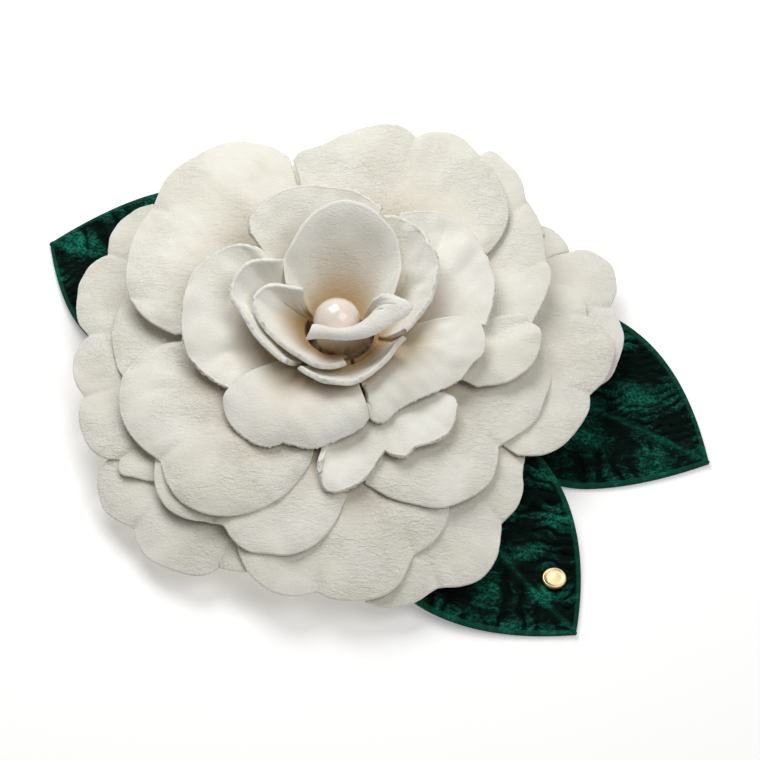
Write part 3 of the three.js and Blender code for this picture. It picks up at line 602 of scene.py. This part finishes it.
def rim_of(petal):
    """Rim points, how far along each is, where it is in its lobe, and the notches' places."""
    rim, lobe_share, notches = [], [], []
    for n, lobe in enumerate(petal.lobes):
        line = smooth_curve(lobe)
        run = lengths_along(line)
        cupped = len(lobe[0]) == 3
        step = COLUMN_STEP * (0.6 if cupped else 1)
        places = np.linspace(0, run[-1], max(8, round(run[-1] / step)) + 1)
        if n == 0:
            places = np.union1d(places[3:], EDGE_STEPS[:SIDE_ROWS])
        else:
            places = places[1:]
            notches.append(np.array(lobe[0][:2]))
        if n == len(petal.lobes) - 1:
            places = np.union1d(places[:-3], run[-1] - np.array(EDGE_STEPS[:SIDE_ROWS]))
        rim.append(np.stack([np.interp(places, run, line[:, k]) for k in range(3)], axis=1))
        lobe_share.append(places / run[-1])
    return np.vstack(rim), np.concatenate(lobe_share), notches


def ring_height(ring, x, y):
    radius = np.hypot(x, y)
    reach = (radius - RING_START) / RING_SPAN
    return ring.z + ring.rise * reach - (ring.fall - FRONT_DROOP * y / radius) * reach**2


def petal_grid(petal, rim):
    """The petal's underside, rows from root to rim, how far each point is from the rim, and how far
    out it is, as a share of the way."""
    ring = RINGS.get(petal.base) if isinstance(petal.base, str) else None
    root_radius, root_z = (ring.root, ring.z) if ring else petal.base
    run = lengths_along(rim)
    angle = np.unwrap(np.arctan2(rim[:, 1] - petal.centre[1], rim[:, 0] - petal.centre[0]))
    sweep = angle[-1] - angle[0]
    share = np.clip((angle - angle[0]) / sweep, 0, 1)
    turn = angle[0] + sweep * (0.3 * run / run[-1] + 0.7 * share)
    root = np.stack([petal.centre[0] + root_radius * np.cos(turn),
                     petal.centre[1] + root_radius * np.sin(turn)], axis=1)
    outward = rim[:, :2] - root
    reach = np.linalg.norm(outward, axis=1)
    tangent = np.gradient(rim[:, :2], axis=0)
    slant = np.abs(outward[:, 0] * tangent[:, 1] - outward[:, 1] * tangent[:, 0])
    slant = np.clip(slant / (reach * np.linalg.norm(tangent, axis=1)), 0.4, 1)
    edge = np.array(EDGE_STEPS)[:, None] / slant
    inner = edge[-1] + (reach - edge[-1]) * np.linspace(0, 1, ROOT_ROWS + 1)[1:, None]
    back = np.vstack([edge, inner])[::-1]
    v = 1 - back / reach
    out = v - 6.75 * petal.pinch * v * v * (1 - v)
    x = root[:, 0] + (rim[:, 0] - root[:, 0]) * out
    y = root[:, 1] + (rim[:, 1] - root[:, 1]) * out
    if ring:
        z = ring_height(ring, x, y)
    else:
        z = root_z + (rim[:, 2] - root_z) * v + (4 * petal.bow + 6.75 * petal.crest * v) * v * (1 - v)
    return np.stack([x, y, z], axis=2), back * slant, v


def petal_lift(seed, petal, manner, grid, from_rim, v, lobe_share, notches):
    """How far the petal rises above its grid: domes, curl, waves, creases, folds and stray fibres."""
    cut = manner.thickness == CUT_LEATHER
    x, y = grid[..., 0], grid[..., 1]
    loose = smoothstep(v, 0.2, 0.7)
    lift = manner.dome * (np.sin(math.pi * lobe_share) - 0.5) * smoothstep(v, 0.6, 1)
    lift -= manner.curl * np.clip(1 - from_rim / manner.curl_width, 0, 1) ** 2
    lift += waves(x, y, seed, manner.wave, LONG_WAVE) * loose
    lift += waves(x, y, seed + 100, manner.wave * 0.4, SHORT_WAVE) * loose
    for notch in notches if not cut else ():
        end = notch * (1 - NOTCH_LENGTH / np.hypot(*notch))
        lift += fold(x, y, notch, end, NOTCH_WIDTH, -NOTCH_DEPTH)
    for start, end, width, height in FOLDS.get(petal.name, []):
        lift += fold(x, y, start, end, width, height)
    fibre = np.random.default_rng(seed + 200).normal(0, 1, x.shape)
    lift += FRAY * (1 if cut else 0.6) * fibre * smoothstep(from_rim, FRAY_WIDTH, 0.0)
    return lift


def petal_piece(seed, petal):
    manner = SPOON if petal.name == "heart_petal_back" else MANNERS[petal.name.split("_")[0]]
    cut = manner.thickness == CUT_LEATHER
    rim, lobe_share, notches = rim_of(petal)
    grid, from_rim, v = petal_grid(petal, rim)
    lift = petal_lift(seed, petal, manner, grid, from_rim, v, lobe_share, notches)
    run = lengths_along(rim)
    from_side = np.minimum(run, run[-1] - run) * np.clip(v, 0.2, 1)
    from_edge = np.minimum(from_rim, from_side)
    half = rounded(from_edge, manner.thickness, RAW_EDGE if cut else WORN_EDGE)
    middle = grid + normals_of(grid) * (LEATHER / 2 + lift)[..., None]
    # The raw-edged petals' material is painted a little lighter, as painted light inside the cup.
    material = LEATHER_CUT if cut or manner is SPOON else LEATHER_SMOOTH
    piece = closed_sheet(petal.name + "_look", middle, half, material)
    # Painted shade: tan towards the root and on the underside, where shade falls.
    depth = smoothstep(v, 0.8, 0.05)
    under = np.maximum(depth, 0.8 * smoothstep(from_rim, 1, 5) if cut else 0.3)
    add_attribute(piece, "depth", np.concatenate([depth.ravel(), under.ravel()]))
    raw = smoothstep(from_rim, 0.5, 0.25) * (1 if cut else 0.5)
    add_attribute(piece, "raw", np.tile(raw.ravel(), 2))
    stands_for(piece)


# ------------------------------------------------------------------ leaves
# A leaf's tip in plan, the heading of its tip in degrees, its length and half width, and how far
# from the axis it lies flat.
Leaf = namedtuple("Leaf", "name tip toward length half_width flat_from")
LEAVES = [
    Leaf("leaf_left", (-66, 40), 160, 60, 26, 74),
    Leaf("leaf_right", (78.4, -19), -30, 74, 24, 58),
    Leaf("leaf_front", (48.5, -61.3), -48, 68, 22, 74),
]
LEAF_ROWS = 150
LEAF_COLUMNS = 90
VEIN_SPACING = 3.1
WIDE_VEINS = 1.7  # how much wider the veins are spaced on the other side of the midrib
VEIN_LEAN = 0.9
VEIN_DEPTH = 0.8
MIDRIB_HALF = 0.55
MIDRIB_HEIGHT = 0.2
BOUND_WIDTH = 1.5
BOUND_HEIGHT = 0.15


def leaf_piece(seed, leaf):
    """A leaf with an embossed midrib, side veins that lean to the tip, and crushed pile."""
    cos, sin = math.cos(math.radians(leaf.toward)), math.sin(math.radians(leaf.toward))
    t = (1 - (1 - np.linspace(0, 1, LEAF_ROWS + 1)) ** 1.3)[:, None]
    s = np.sin(np.linspace(-1, 1, LEAF_COLUMNS + 1) * math.pi / 2)[None, :]
    outer, inner = 1 - (2 * t - 1) ** 2, smoothstep(t, 0, 0.5)
    half_width = np.where(t < 0.5, np.maximum(leaf.half_width * inner, LEAF_STEM),
                          np.maximum(leaf.half_width * outer, 0.3))
    across = half_width * s
    along = (t - 1) * leaf.length + 0 * s
    x = leaf.tip[0] + along * cos - across * sin
    y = leaf.tip[1] + along * sin + across * cos
    drop = smoothstep(np.hypot(x, y), LEAF_FLAT_TO, leaf.flat_from)
    grid = np.stack([x, y, LEAF_ROOT_Z - LEAF_DROP * drop], axis=2)
    wander = waves(x, y, seed, 1.1, 8)
    spacing = np.where(across > 0, VEIN_SPACING, WIDE_VEINS * VEIN_SPACING)
    from_groove = np.abs(np.sin(math.pi * (along - VEIN_LEAN * np.abs(across) + wander) / spacing))
    from_midrib = smoothstep(np.abs(across), MIDRIB_HALF, 2)
    patchy = smoothstep(waves(x, y, seed + 3, 1, 16), -1.1, 0.5)
    pile = 1 - patchy * smoothstep(from_groove, 0.75, 0.15) * from_midrib
    midrib = np.exp(-((across / MIDRIB_HALF) ** 2)) * smoothstep(t, 0.02, 0.1)
    from_edge = np.minimum(half_width - np.abs(across), (1 - t) * leaf.length + 0 * s)
    bound = smoothstep(from_edge, BOUND_WIDTH, BOUND_WIDTH - 0.4)
    crush = waves(x, y, seed + 1, 0.20, 3.2) + waves(x, y, seed + 2, 0.10, 1.5)
    from_stud = np.hypot(x - STUD_AT[0], y - STUD_AT[1])
    inside = smoothstep(from_edge, 0.3, 3) * smoothstep(from_stud, STUD_RADIUS, STUD_RADIUS + 2)
    midrib = midrib * smoothstep(from_stud, STUD_RADIUS, STUD_RADIUS + 1)
    relief = (VEIN_DEPTH * pile - 0.6 + crush) * inside
    relief += MIDRIB_HEIGHT * midrib + BOUND_HEIGHT * bound
    half = rounded(from_edge, LEAF_THICKNESS) + relief / 2
    middle = grid - normals_of(grid) * ((LEAF_THICKNESS - relief) / 2)[..., None]
    piece = closed_sheet(leaf.name + "_look", middle, half, VELVET)
    # Painted light for the velvet's colour: highlight on the ridges, the midrib and in broad patches,
    # shade in the grooves; none on the underside.
    ridge = (pile + 0.4 * waves(x, y, seed + 4, 1, 12) + 0.3 * midrib).ravel()
    add_attribute(piece, "ridge", np.concatenate([ridge, 0 * ridge]))
    # Painted highlight for the velvet: the raised bound edge and the midrib are painted a lighter teal.
    edge = np.maximum(bound, 0.4 * midrib).ravel()
    add_attribute(piece, "bound", np.concatenate([edge, 0 * edge]))
    stands_for(piece)


# ------------------------------------------------------------------ turned pieces
def turned_piece(name, profile, material, centre=(0, 0), sides=96, wobble=0.0, seed=0):
    """A body turned from [radius, z] points, from the axis at its bottom to the axis at its top."""
    profile = np.array(profile, float)
    turn = np.linspace(0, 2 * math.pi, sides, endpoint=False)
    draw = np.random.default_rng(seed)
    ring = profile[1:-1]
    radius = ring[:, 0:1] + wobble * draw.normal(0, 1, (len(ring), sides)) * (ring[:, 0:1] > 1)
    x = centre[0] + radius * np.cos(turn)
    y = centre[1] + radius * np.sin(turn)
    z = ring[:, 1:2] + wobble * draw.normal(0, 1, x.shape)
    points = np.stack([x, y, z], axis=2).reshape(-1, 3)
    points = np.vstack([points, (*centre, profile[0, 1]), (*centre, profile[-1, 1])])
    bottom, top = len(points) - 2, len(points) - 1
    index = np.arange(len(ring) * sides).reshape(len(ring), sides)
    after = np.roll(index, -1, axis=1)
    faces = []
    for j in range(len(ring) - 1):
        faces += [list(q) for q in zip(index[j], after[j], after[j + 1], index[j + 1])]
    faces += [[bottom, b, a] for a, b in zip(index[0], after[0])]
    faces += [[a, b, top] for a, b in zip(index[-1], after[-1])]
    return add_mesh(name, points, faces, material)


def arc(centre_r, centre_z, radius, start, end, count=6):
    """[radius, z] points on an arc of a turned body's profile, angles in degrees."""
    angles = np.radians(np.linspace(start, end, count))
    return [(centre_r + radius * math.cos(a), centre_z + radius * math.sin(a)) for a in angles]


def slab(radius, bottom, top, edge):
    """The profile of a round slab with rounded edges, its faces in several rings."""
    low = [(r, bottom) for r in np.linspace(0, radius - edge, 14)[:-1]]
    high = [(r, top) for r in np.linspace(radius - edge, 0, 14)[1:]]
    return [*low, *arc(radius - edge, bottom + edge, edge, -90, 0, 4),
            *arc(radius - edge, top - edge, edge, 0, 90, 4), *high]


FELT_FUZZ = 0.03


def disc_piece():
    top = DISC_BOTTOM + DISC_THICKNESS
    profile = slab(DISC_RADIUS, DISC_BOTTOM, top, 0.45)
    piece = turned_piece("backing_disc_look", profile, FELT, sides=240, wobble=FELT_FUZZ, seed=11)
    stands_for(piece)


def core_piece():
    """The felt plug: upright sides, a cone the inner petals lean on, and the post's hole."""
    foot = 0.4
    profile = [(0, CORE_BOTTOM), (6, CORE_BOTTOM)]
    profile += arc(CORE_RADIUS - foot, CORE_BOTTOM + foot, foot, -90, 0, 4)
    profile += [(CORE_RADIUS, 16.5), (6.2, 19), (4.6, CORE_TOP - 0.3), (4.2, CORE_TOP)]
    profile += [(POST_HOLE_RADIUS, CORE_TOP), (POST_HOLE_RADIUS, POST_HOLE_BOTTOM)]
    profile += [(0, POST_HOLE_BOTTOM)]
    # The core's dark tan felt is painted shade for the gaps round the heart petals' roots.
    piece = turned_piece("petal_core_look", profile, CORE_FELT_SHADED, wobble=FELT_FUZZ, seed=12)
    stands_for(piece)


def pearl_piece():
    start = math.degrees(math.asin(POST_HOLE_RADIUS / PEARL_RADIUS)) - 90
    profile = [(0, POST_HOLE_TOP), (POST_HOLE_RADIUS, POST_HOLE_TOP)]
    profile += arc(0, PEARL_Z, PEARL_RADIUS, start, 90, 60)
    profile[-1] = (0, PEARL_Z + PEARL_RADIUS)
    piece = turned_piece("pearl_look", profile, PEARL, PEARL_AXIS, sides=128)
    stands_for(piece)


def post_piece():
    edge = 0.2
    profile = [(0, POST_BOTTOM)]
    profile += arc(POST_RADIUS - edge, POST_BOTTOM + edge, edge, -90, 0, 4)
    profile += arc(POST_RADIUS - edge, POST_TOP - edge, edge, 0, 90, 4)
    profile += [(0, POST_TOP)]
    piece = turned_piece("pearl_post_look", profile, STEEL, PEARL_AXIS, sides=32)
    stands_for(piece)


def stud_piece():
    """A plain round stud: a nearly flat face inside a slightly raised, rounded rim."""
    top = STUD_BOTTOM + STUD_HEIGHT
    foot, rim = 0.2, 0.3
    profile = [(0, STUD_BOTTOM)]
    profile += arc(STUD_RADIUS - foot, STUD_BOTTOM + foot, foot, -90, 0, 5)
    profile += arc(STUD_RADIUS - rim, top - rim, rim, 0, 90, 7)
    profile += [(STUD_RADIUS - 0.45, top - 0.04), (STUD_RADIUS - 0.55, top - 0.12)]
    profile += [(1.4, top - 0.1), (0.7, top - 0.07), (0, top - 0.06)]
    stands_for(turned_piece("leaf_stud_look", profile, GOLD, STUD_AT, sides=72))


# ------------------------------------------------------------------ clip
def tube(name, line, radius, material, sides=16):
    """A closed round tube along a polyline, in millimetres."""
    line = np.asarray(line, float)
    tangent = np.gradient(line, axis=0)
    tangent /= np.linalg.norm(tangent, axis=1, keepdims=True)
    side = np.cross(tangent[0], (0.0, 1.0, 0.0))
    side = side if np.linalg.norm(side) > 0.1 else np.cross(tangent[0], (1.0, 0.0, 0.0))
    turn = np.linspace(0, 2 * math.pi, sides, endpoint=False)
    rings = []
    for point, direction in zip(line, tangent):
        side = side - direction * side.dot(direction)
        side /= np.linalg.norm(side)
        up = np.cross(direction, side)
        rings.append(point + radius * (np.outer(np.cos(turn), side) + np.outer(np.sin(turn), up)))
    points = np.vstack([*rings, line[:1], line[-1:]])
    index = np.arange(len(line) * sides).reshape(-1, sides)
    after = np.roll(index, -1, axis=1)
    faces = []
    for j in range(len(line) - 1):
        faces += [list(q) for q in zip(index[j], after[j], after[j + 1], index[j + 1])]
    faces += [[len(points) - 2, b, a] for a, b in zip(index[0], after[0])]
    faces += [[len(points) - 1, a, b] for a, b in zip(index[-1], after[-1])]
    return add_mesh(name, points, faces, material)


def spring_piece():
    """The torsion spring: one leg under the plate, three turns round the pin, one leg on the tab."""
    route = [(SPRING_LEG_END, -SPRING_HALF, SPRING_UPPER_LEG)]
    route.append((HINGE_X + 2.4, -SPRING_HALF, HINGE_Z + 2.3))
    steps = 16 * SPRING_TURNS
    for k in range(steps + 1):
        angle = math.pi / 2 + 2 * math.pi * SPRING_TURNS * k / steps
        x, z = HINGE_X + SPRING_RADIUS * math.cos(angle), HINGE_Z + SPRING_RADIUS * math.sin(angle)
        route.append((x, SPRING_HALF * (2 * k / steps - 1), z))
    route.append((SPRING_LEG_END, SPRING_HALF, SPRING_LOWER_LEG))
    line = smooth_curve(route)[::4]
    piece = tube("torsion_spring_look", line, SPRING_WIRE, STEEL)
    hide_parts("torsion_spring")
    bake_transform(piece)


def strap_line():
    """The strap's middle line across the plate, (y, z): up on the disc, down over the plate, up."""
    on_disc, on_plate = STRAP_TOP_ON_DISC - STRAP_THICKNESS, STRAP_TOP_ON_PLATE - STRAP_THICKNESS
    half = [(-STRAP_REACH, on_disc), (-STRAP_BEND - 1, on_disc), (-STRAP_BEND, on_plate)]
    line = np.array(half + [(-y, z) for y, z in reversed(half)])
    line[:, 1] += STRAP_THICKNESS / 2
    fine = smooth_curve(line.tolist())
    run = lengths_along(fine)
    places = np.linspace(0, run[-1], 90)
    y, z = (np.interp(places, run, fine[:, k]) for k in range(2))
    return y, z, np.minimum(places, places[-1] - places)


def stitch_piece(side, number):
    """One stitch: it comes up through the strap, lies on it, and goes down again."""
    pitch, length, dip, wire = 1.75, 1.2, 0.25, 0.16
    x, y = STRAP_LEFT + 1 + pitch * (number - 1), side * (STRAP_REACH - 1.2)
    face = STRAP_TOP_ON_DISC - STRAP_THICKNESS
    line = [(x, y, face + dip), (x + 0.15, y, face - 0.1), (x + length / 2, y, face - 0.18),
            (x + length - 0.15, y, face - 0.1), (x + length, y, face + dip)]
    name = f"strap_stitch_{'left' if side < 0 else 'right'}_{number}"
    stitch = tube(name, smooth_curve(line)[::6], wire, THREAD, sides=8)
    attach(stitch, "flower")


def strap_piece():
    """The leather strap that holds the plate to the disc, with a row of stitches at each end."""
    y, z, from_end = strap_line()
    near_side = np.array(EDGE_STEPS[:SIDE_ROWS])
    between = np.linspace(STRAP_LEFT + 1, STRAP_RIGHT - 1, 17)
    x = np.concatenate([STRAP_LEFT + near_side, between, STRAP_RIGHT - near_side[::-1]])
    x = np.unique(np.round(x, 4))
    from_side = np.minimum(x - STRAP_LEFT, STRAP_RIGHT - x)
    middle = np.stack(np.broadcast_arrays(x[:, None], y[None, :], z[None, :]), axis=2)
    half = rounded(np.minimum(from_side[:, None], from_end[None, :]), STRAP_THICKNESS)
    piece = closed_sheet("clip_strap_look", middle, half, LEATHER_SMOOTH)
    # An even, slight tan tint over the whole strap, its own colour.
    add_attribute(piece, "depth", np.full(len(piece.data.vertices), 0.12))
    stands_for(piece)
    for side in (-1, 1):
        for number in range(1, 6):
            stitch_piece(side, number)


def metal_node(name, width):
    """A CAD node whose shape is right: its edges are broken and it gets brushed steel."""
    node = nodes[name]
    for place in node.material_slots:
        place.material = STEEL
    bevel = node.modifiers.new("broken_edges", "BEVEL")
    bevel.width = width * MM
    bevel.segments = 2
    bevel.limit_method = "ANGLE"
    bevel.angle_limit = math.radians(35)


# ------------------------------------------------------------------ assembly
for number, petal in enumerate(petal_table()):
    petal_piece(number, petal)
disc_piece()
for number, leaf in enumerate(LEAVES):
    leaf_piece(50 + number, leaf)
core_piece()
pearl_piece()
post_piece()
stud_piece()
spring_piece()
strap_piece()
BROKEN_EDGES = {"clip_plate": 0.15, "clip_jaw": 0.12, "hinge_pin": 0.15}
for name, width in BROKEN_EDGES.items():
    metal_node(name, width)

# ------------------------------------------------------------------ floor, light and camera
FLOOR_SIZE = 6
FLOOR_GAP = 0.0002
bpy.ops.mesh.primitive_plane_add(size=FLOOR_SIZE, location=(0, 0, -FLOOR_GAP))
floor = bpy.context.object
floor.name = "floor"
paper = Nodes("floor_white")
paper.set(Base_Color=(0.9, 0.9, 0.9, 1), Roughness=0.9, Specular_IOR_Level=0.1)
paper.set(Emission_Color=(1, 1, 1, 1), Emission_Strength=0.3)
floor.data.materials.append(paper.material)

world = bpy.data.worlds.new("studio")
bpy.context.scene.world = world
world.use_nodes = True
sky = world.node_tree.nodes["Background"]
sky.inputs["Color"].default_value = (1, 0.97, 0.92, 1)
sky.inputs["Strength"].default_value = 0.14
bpy.context.scene.view_settings.view_transform = "Standard"

LOOK_AT = Vector(AXIS + np.array([8.04, 2.13, 1.5]) * MM)


def soft_light(name, azimuth, elevation, distance, size, power):
    """An area light that looks at the flower: azimuth in degrees anticlockwise from +X, elevation in
    degrees, distance and size in metres, power in watts."""
    data = bpy.data.lights.new(name, "AREA")
    data.size = size
    data.energy = power
    light = bpy.data.objects.new(name, data)
    bpy.context.scene.collection.objects.link(light)
    a, e = math.radians(azimuth), math.radians(elevation)
    toward = Vector((math.cos(a) * math.cos(e), math.sin(a) * math.cos(e), math.sin(e)))
    light.location = LOOK_AT + toward * distance
    light.rotation_euler = toward.to_track_quat("Z", "Y").to_euler()


soft_light("key", 115, 58, 0.38, 0.24, 0.94)
soft_light("fill", -20, 60, 1.4, 0.9, 7)

CAMERA_DISTANCE = 0.7
CAMERA_ELEVATION = math.radians(55)
CAMERA_LENS = 152.5
camera = bpy.data.objects.new("camera", bpy.data.cameras.new("camera"))
bpy.context.scene.collection.objects.link(camera)
camera.data.lens = CAMERA_LENS
back = Vector((0, -math.cos(CAMERA_ELEVATION), math.sin(CAMERA_ELEVATION)))
camera.location = LOOK_AT + back * CAMERA_DISTANCE
camera.rotation_euler = back.to_track_quat("Z", "Y").to_euler()
bpy.context.scene.camera = camera
